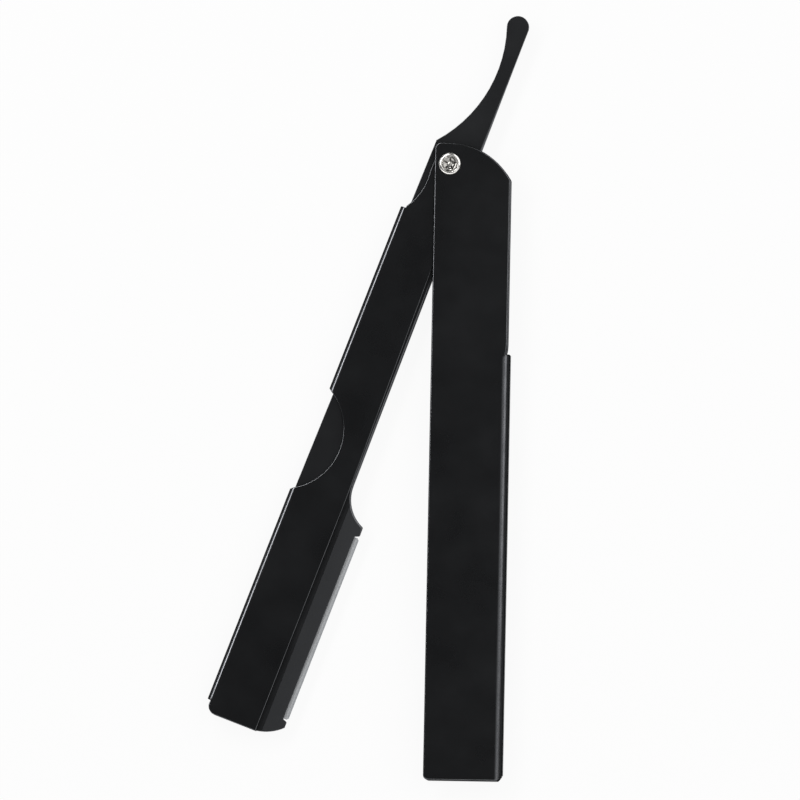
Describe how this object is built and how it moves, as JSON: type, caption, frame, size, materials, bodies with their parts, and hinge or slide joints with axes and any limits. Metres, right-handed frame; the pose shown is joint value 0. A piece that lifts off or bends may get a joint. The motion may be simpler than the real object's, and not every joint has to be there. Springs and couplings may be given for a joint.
{
  "type": "replaceable blade straight razor",
  "caption": "Folding straight razor in black coated sheet steel: channel handle, pivoting arm with a thumb rest, and a swing-away sleeve that clamps a replaceable half blade.",
  "frame": {"origin": "on the pivot's axis, at the flat rivet head that lies flush in the handle's back", "axes": "+Z along the pivot towards the front of the handle, +Y along the handle from its foot to the pivot, +X across the handle towards its folded spine; the arm points towards -Y and -X"},
  "size_m": [0.0682, 0.1692, 0.0064],
  "materials": {
    "handle_coating": "satin",
    "arm_coating": "satin",
    "blade_steel": "satin",
    "bright_rivet": "polished",
    "washer_brass": "satin"
  },
  "bodies": {
    "handle": {"handle_channel": "handle_coating", "rear_washer": "washer_brass", "front_washer": "washer_brass", "pivot_rivet": "bright_rivet", "rivet_ring": "bright_rivet"},
    "tang": {"tang_plate": "arm_coating", "clamp_leaf": "arm_coating", "leaf_rivets": "bright_rivet"},
    "sleeve": {"blade_sleeve": "handle_coating"},
    "blade": {"razor_blade": "blade_steel"}
  },
  "joints": [
    {"name": "fold", "type": "hinge", "parent": "handle", "child": "tang", "pos_m": [0, 0, 0.003], "axis": [0, 0, 1], "range_deg": [-279.64, 20.36]},
    {"name": "swing_lock", "type": "hinge", "parent": "tang", "child": "sleeve", "pos_m": [0, 0, 0.003], "axis": [0, 0, 1], "range_deg": [-30, 0]},
    {"name": "blade_slide", "type": "slide", "parent": "tang", "child": "blade", "axis": [-0.3479, -0.9375, 0], "range_m": [0, 0.045]}
  ]
}
